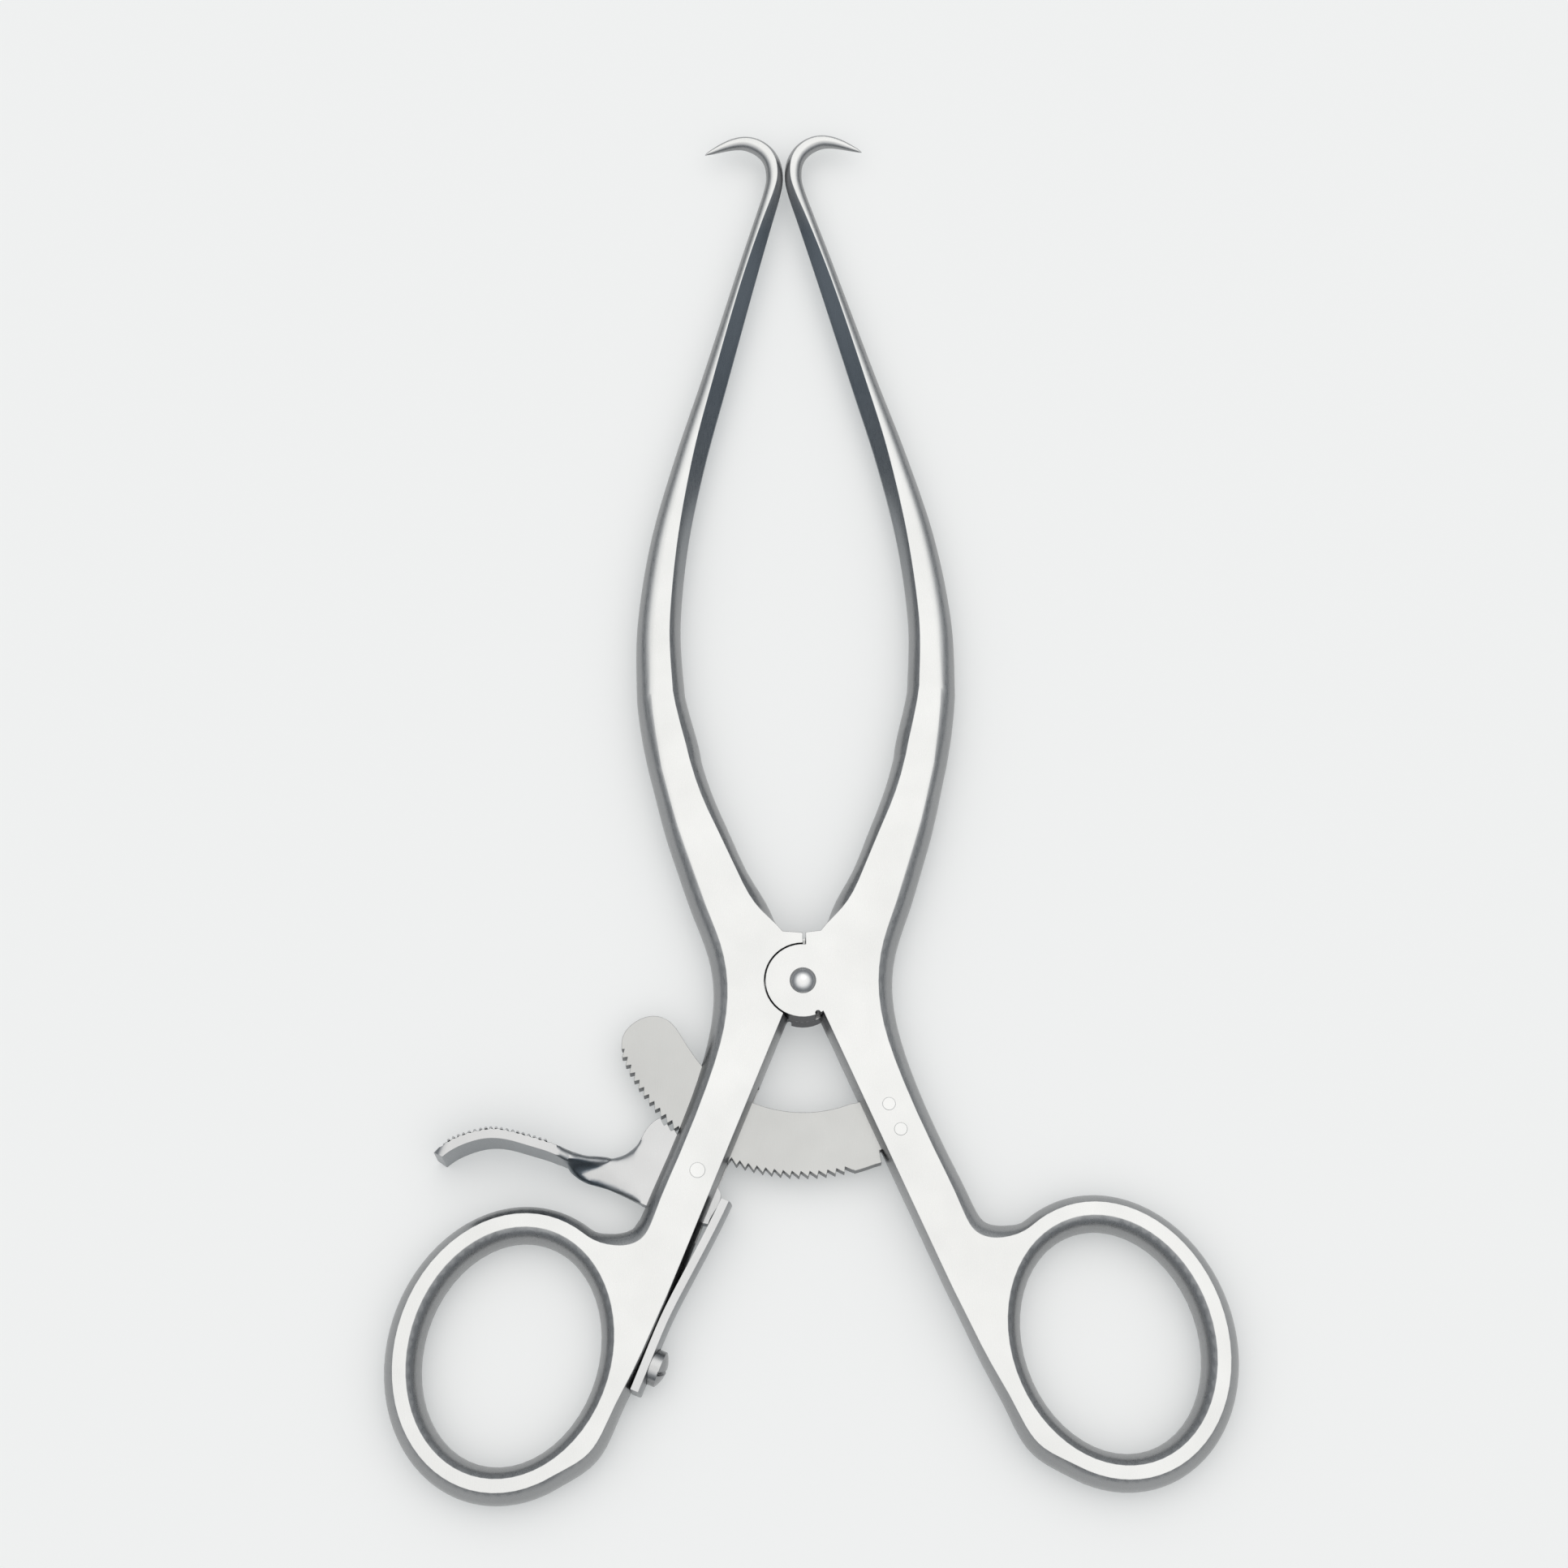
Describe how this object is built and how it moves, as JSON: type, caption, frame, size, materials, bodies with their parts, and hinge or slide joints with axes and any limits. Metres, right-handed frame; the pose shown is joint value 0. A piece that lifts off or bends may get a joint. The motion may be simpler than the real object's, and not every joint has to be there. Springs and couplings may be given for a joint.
{
  "type": "single hook retractor",
  "caption": "Self-retaining single hook retractor: two ring-handled arms on a lapped rivet joint, outward sharp hooks, toothed rack and sprung release lever.",
  "frame": {"origin": "on the joint rivet's axis, at the back faces of the two arms", "axes": "+X to the right seen from the front, +Y towards the hooks along the middle line, +Z out of the front faces"},
  "size_m": [0.1074, 0.1904, 0.007],
  "materials": {
    "forged_steel": "satin",
    "plate_steel": "satin",
    "polished_steel": "polished",
    "spring_steel": "satin"
  },
  "bodies": {
    "left_arm": {"left_arm": "forged_steel", "pivot_rivet": "polished_steel", "lever_pin": "polished_steel", "leaf_spring": "spring_steel", "spring_screw": "polished_steel"},
    "right_arm": {"right_arm": "forged_steel", "ratchet_rack": "plate_steel", "rack_pins": "polished_steel"},
    "release_lever": {"release_lever": "plate_steel"}
  },
  "joints": [
    {"name": "arm_pivot", "type": "hinge", "parent": "left_arm", "child": "right_arm", "pos_m": [0, 0, 0.003], "axis": [0, 0, 1], "range_deg": [-37.03, 0]},
    {"name": "release_lever_pivot", "type": "hinge", "parent": "left_arm", "child": "release_lever", "pos_m": [-0.01397, -0.0246, 0.003], "axis": [0, 0, 1], "range_deg": [-3.55, 6], "stiffness_Nm_per_rad": 1.5, "deforming": ["leaf_spring"]}
  ]
}
